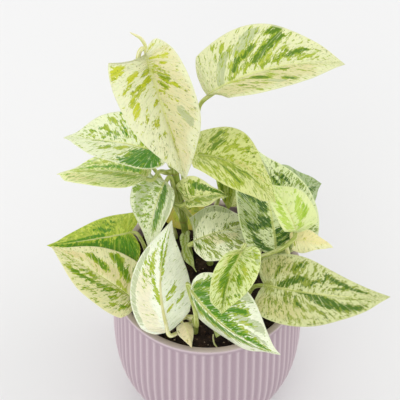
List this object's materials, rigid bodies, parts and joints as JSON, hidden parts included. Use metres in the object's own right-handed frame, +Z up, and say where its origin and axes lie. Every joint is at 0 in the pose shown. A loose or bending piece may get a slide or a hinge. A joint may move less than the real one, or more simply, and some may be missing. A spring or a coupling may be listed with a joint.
{
  "type": "potted plant",
  "caption": "A snow leopard pothos with cream and green heart-shaped leaves on tall stalks, growing in a ribbed mauve ceramic pot",
  "frame": {"origin": "the centre of the pot's flat foot, on the ground", "axes": "+Z up, -Y the front of the picture, +X to the right as the viewer sees it"},
  "size_m": [0.2441, 0.1756, 0.3502],
  "materials": {
    "pot_glaze": "soft satin mauve glaze",
    "soil": "matte, dark crumbly potting mix",
    "cream_leaf": "cream leaf with green streaks, low sheen",
    "green_leaf": "green leaf with cream streaks, low sheen",
    "stem": "smooth green vine",
    "dry_sheath": "pale papery"
  },
  "bodies": {
    "root": {"pot": "pot_glaze", "soil": "soil", "leaf_top_right": "cream_leaf", "leaf_top_left": "cream_leaf", "leaf_left_high": "cream_leaf", "leaf_left_upper": "cream_leaf", "leaf_middle_left": "green_leaf", "leaf_left_middle": "green_leaf", "leaf_left_low": "cream_leaf", "leaf_front_white": "cream_leaf", "leaf_front": "green_leaf", "leaf_centre": "green_leaf", "leaf_centre_back": "cream_leaf", "leaf_right_large": "green_leaf", "leaf_right_small": "green_leaf", "leaf_middle_high": "green_leaf", "leaf_back_right": "green_leaf", "leaf_right_cream": "cream_leaf", "leaf_front_right": "cream_leaf", "leaf_middle_under": "green_leaf", "leaf_middle_hanging": "green_leaf", "leaf_shaded": "green_leaf", "leaf_narrow": "green_leaf", "leaf_low": "green_leaf", "leaf_back_middle": "green_leaf", "leaf_back_low": "green_leaf", "leaf_back_left": "green_leaf", "leaf_rolled": "cream_leaf", "stem_tall": "stem", "stem_middle": "stem", "stem_right": "stem", "stem_front": "stem", "stem_left": "stem", "sheath": "dry_sheath", "root": "dry_sheath"}
  },
  "joints": []
}
